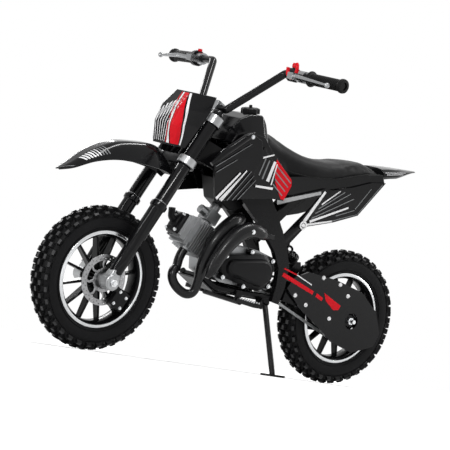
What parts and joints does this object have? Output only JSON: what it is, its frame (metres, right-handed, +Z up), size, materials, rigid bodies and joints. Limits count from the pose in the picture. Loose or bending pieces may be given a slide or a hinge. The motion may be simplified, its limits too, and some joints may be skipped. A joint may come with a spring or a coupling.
{
  "type": "kids dirt bike",
  "caption": "Small off-road motorcycle for a child: knobbly tyres, twin-spar frame, air-cooled engine, stepped seat and blank number plate, parked on its side stand.",
  "frame": {"origin": "on the floor, under the middle of the box round the parked bike", "axes": "+X forwards from the rear wheel to the front wheel, +Y to the rider's left, +Z up; the bike leans 7 degrees towards +Y on its side stand"},
  "size_m": [1.259, 0.7882, 0.9053],
  "materials": {
    "tyre_rubber": "matte",
    "rim_paint": "gloss",
    "steel": "satin",
    "zinc": "gloss",
    "alloy": "satin",
    "frame_paint": "gloss",
    "black_metal": "satin",
    "exhaust_black": "satin",
    "black_plastic": "gloss",
    "dull_plastic": "matte",
    "grip_rubber": "matte",
    "seat_vinyl": "satin",
    "white_ceramic": "gloss"
  },
  "bodies": {
    "chassis": {"air_box": "dull_plastic", "carburettor": "alloy", "chain": "steel", "chain_guard": "black_plastic", "clutch_cover": "black_metal", "engine_case": "alloy", "engine_cylinder": "alloy", "exhaust_chamber": "exhaust_black", "exhaust_header": "exhaust_black", "foot_pegs": "steel", "frame": "frame_paint", "fuel_cap": "dull_plastic", "fuel_tank": "black_plastic", "rear_axle": "zinc", "rear_caliper": "black_metal", "rear_shock": "black_metal", "recoil_starter": "black_plastic", "seat": "seat_vinyl", "shroud_left": "black_plastic", "shroud_right": "black_plastic", "side_panel_left": "black_plastic", "side_panel_right": "black_plastic", "silencer": "exhaust_black", "skid_plate": "dull_plastic", "spark_plug": "white_ceramic", "swingarm": "frame_paint", "tail_fender": "black_plastic"},
    "steering": {"fork_legs": "black_metal", "fork_tubes": "black_metal", "front_axle": "zinc", "front_caliper": "black_metal", "front_fender": "black_plastic", "grips": "grip_rubber", "hand_controls": "dull_plastic", "hand_levers": "alloy", "handlebar": "black_metal", "number_plate": "black_plastic", "steering_stem": "black_metal", "upper_clamp": "black_metal"},
    "front_wheel": {"front_disc": "steel", "front_rim": "rim_paint", "front_tyre": "tyre_rubber"},
    "rear_wheel": {"rear_disc": "steel", "rear_rim": "rim_paint", "rear_sprocket": "steel", "rear_tyre": "tyre_rubber"},
    "side_stand": {"side_stand": "black_metal"}
  },
  "joints": [
    {"name": "steering", "type": "hinge", "parent": "chassis", "child": "steering", "pos_m": [0.23975, -0.03867, 0.52651], "axis": [-0.4274, 0.1102, 0.8973], "range_deg": [-30, 30]},
    {"name": "front_wheel_spin", "type": "hinge", "parent": "steering", "child": "front_wheel", "pos_m": [0.4315, -0.07898, 0.19819], "axis": [0, 0.9925, -0.1219], "continuous": true},
    {"name": "rear_wheel_spin", "type": "hinge", "parent": "chassis", "child": "rear_wheel", "pos_m": [-0.4315, -0.07898, 0.19819], "axis": [0, 0.9925, -0.1219], "continuous": true},
    {"name": "side_stand_fold", "type": "hinge", "parent": "chassis", "child": "side_stand", "pos_m": [-0.0935, 0.0061, 0.20185], "axis": [0.1664, 0.884, 0.4369], "range_deg": [0, 92]}
  ]
}
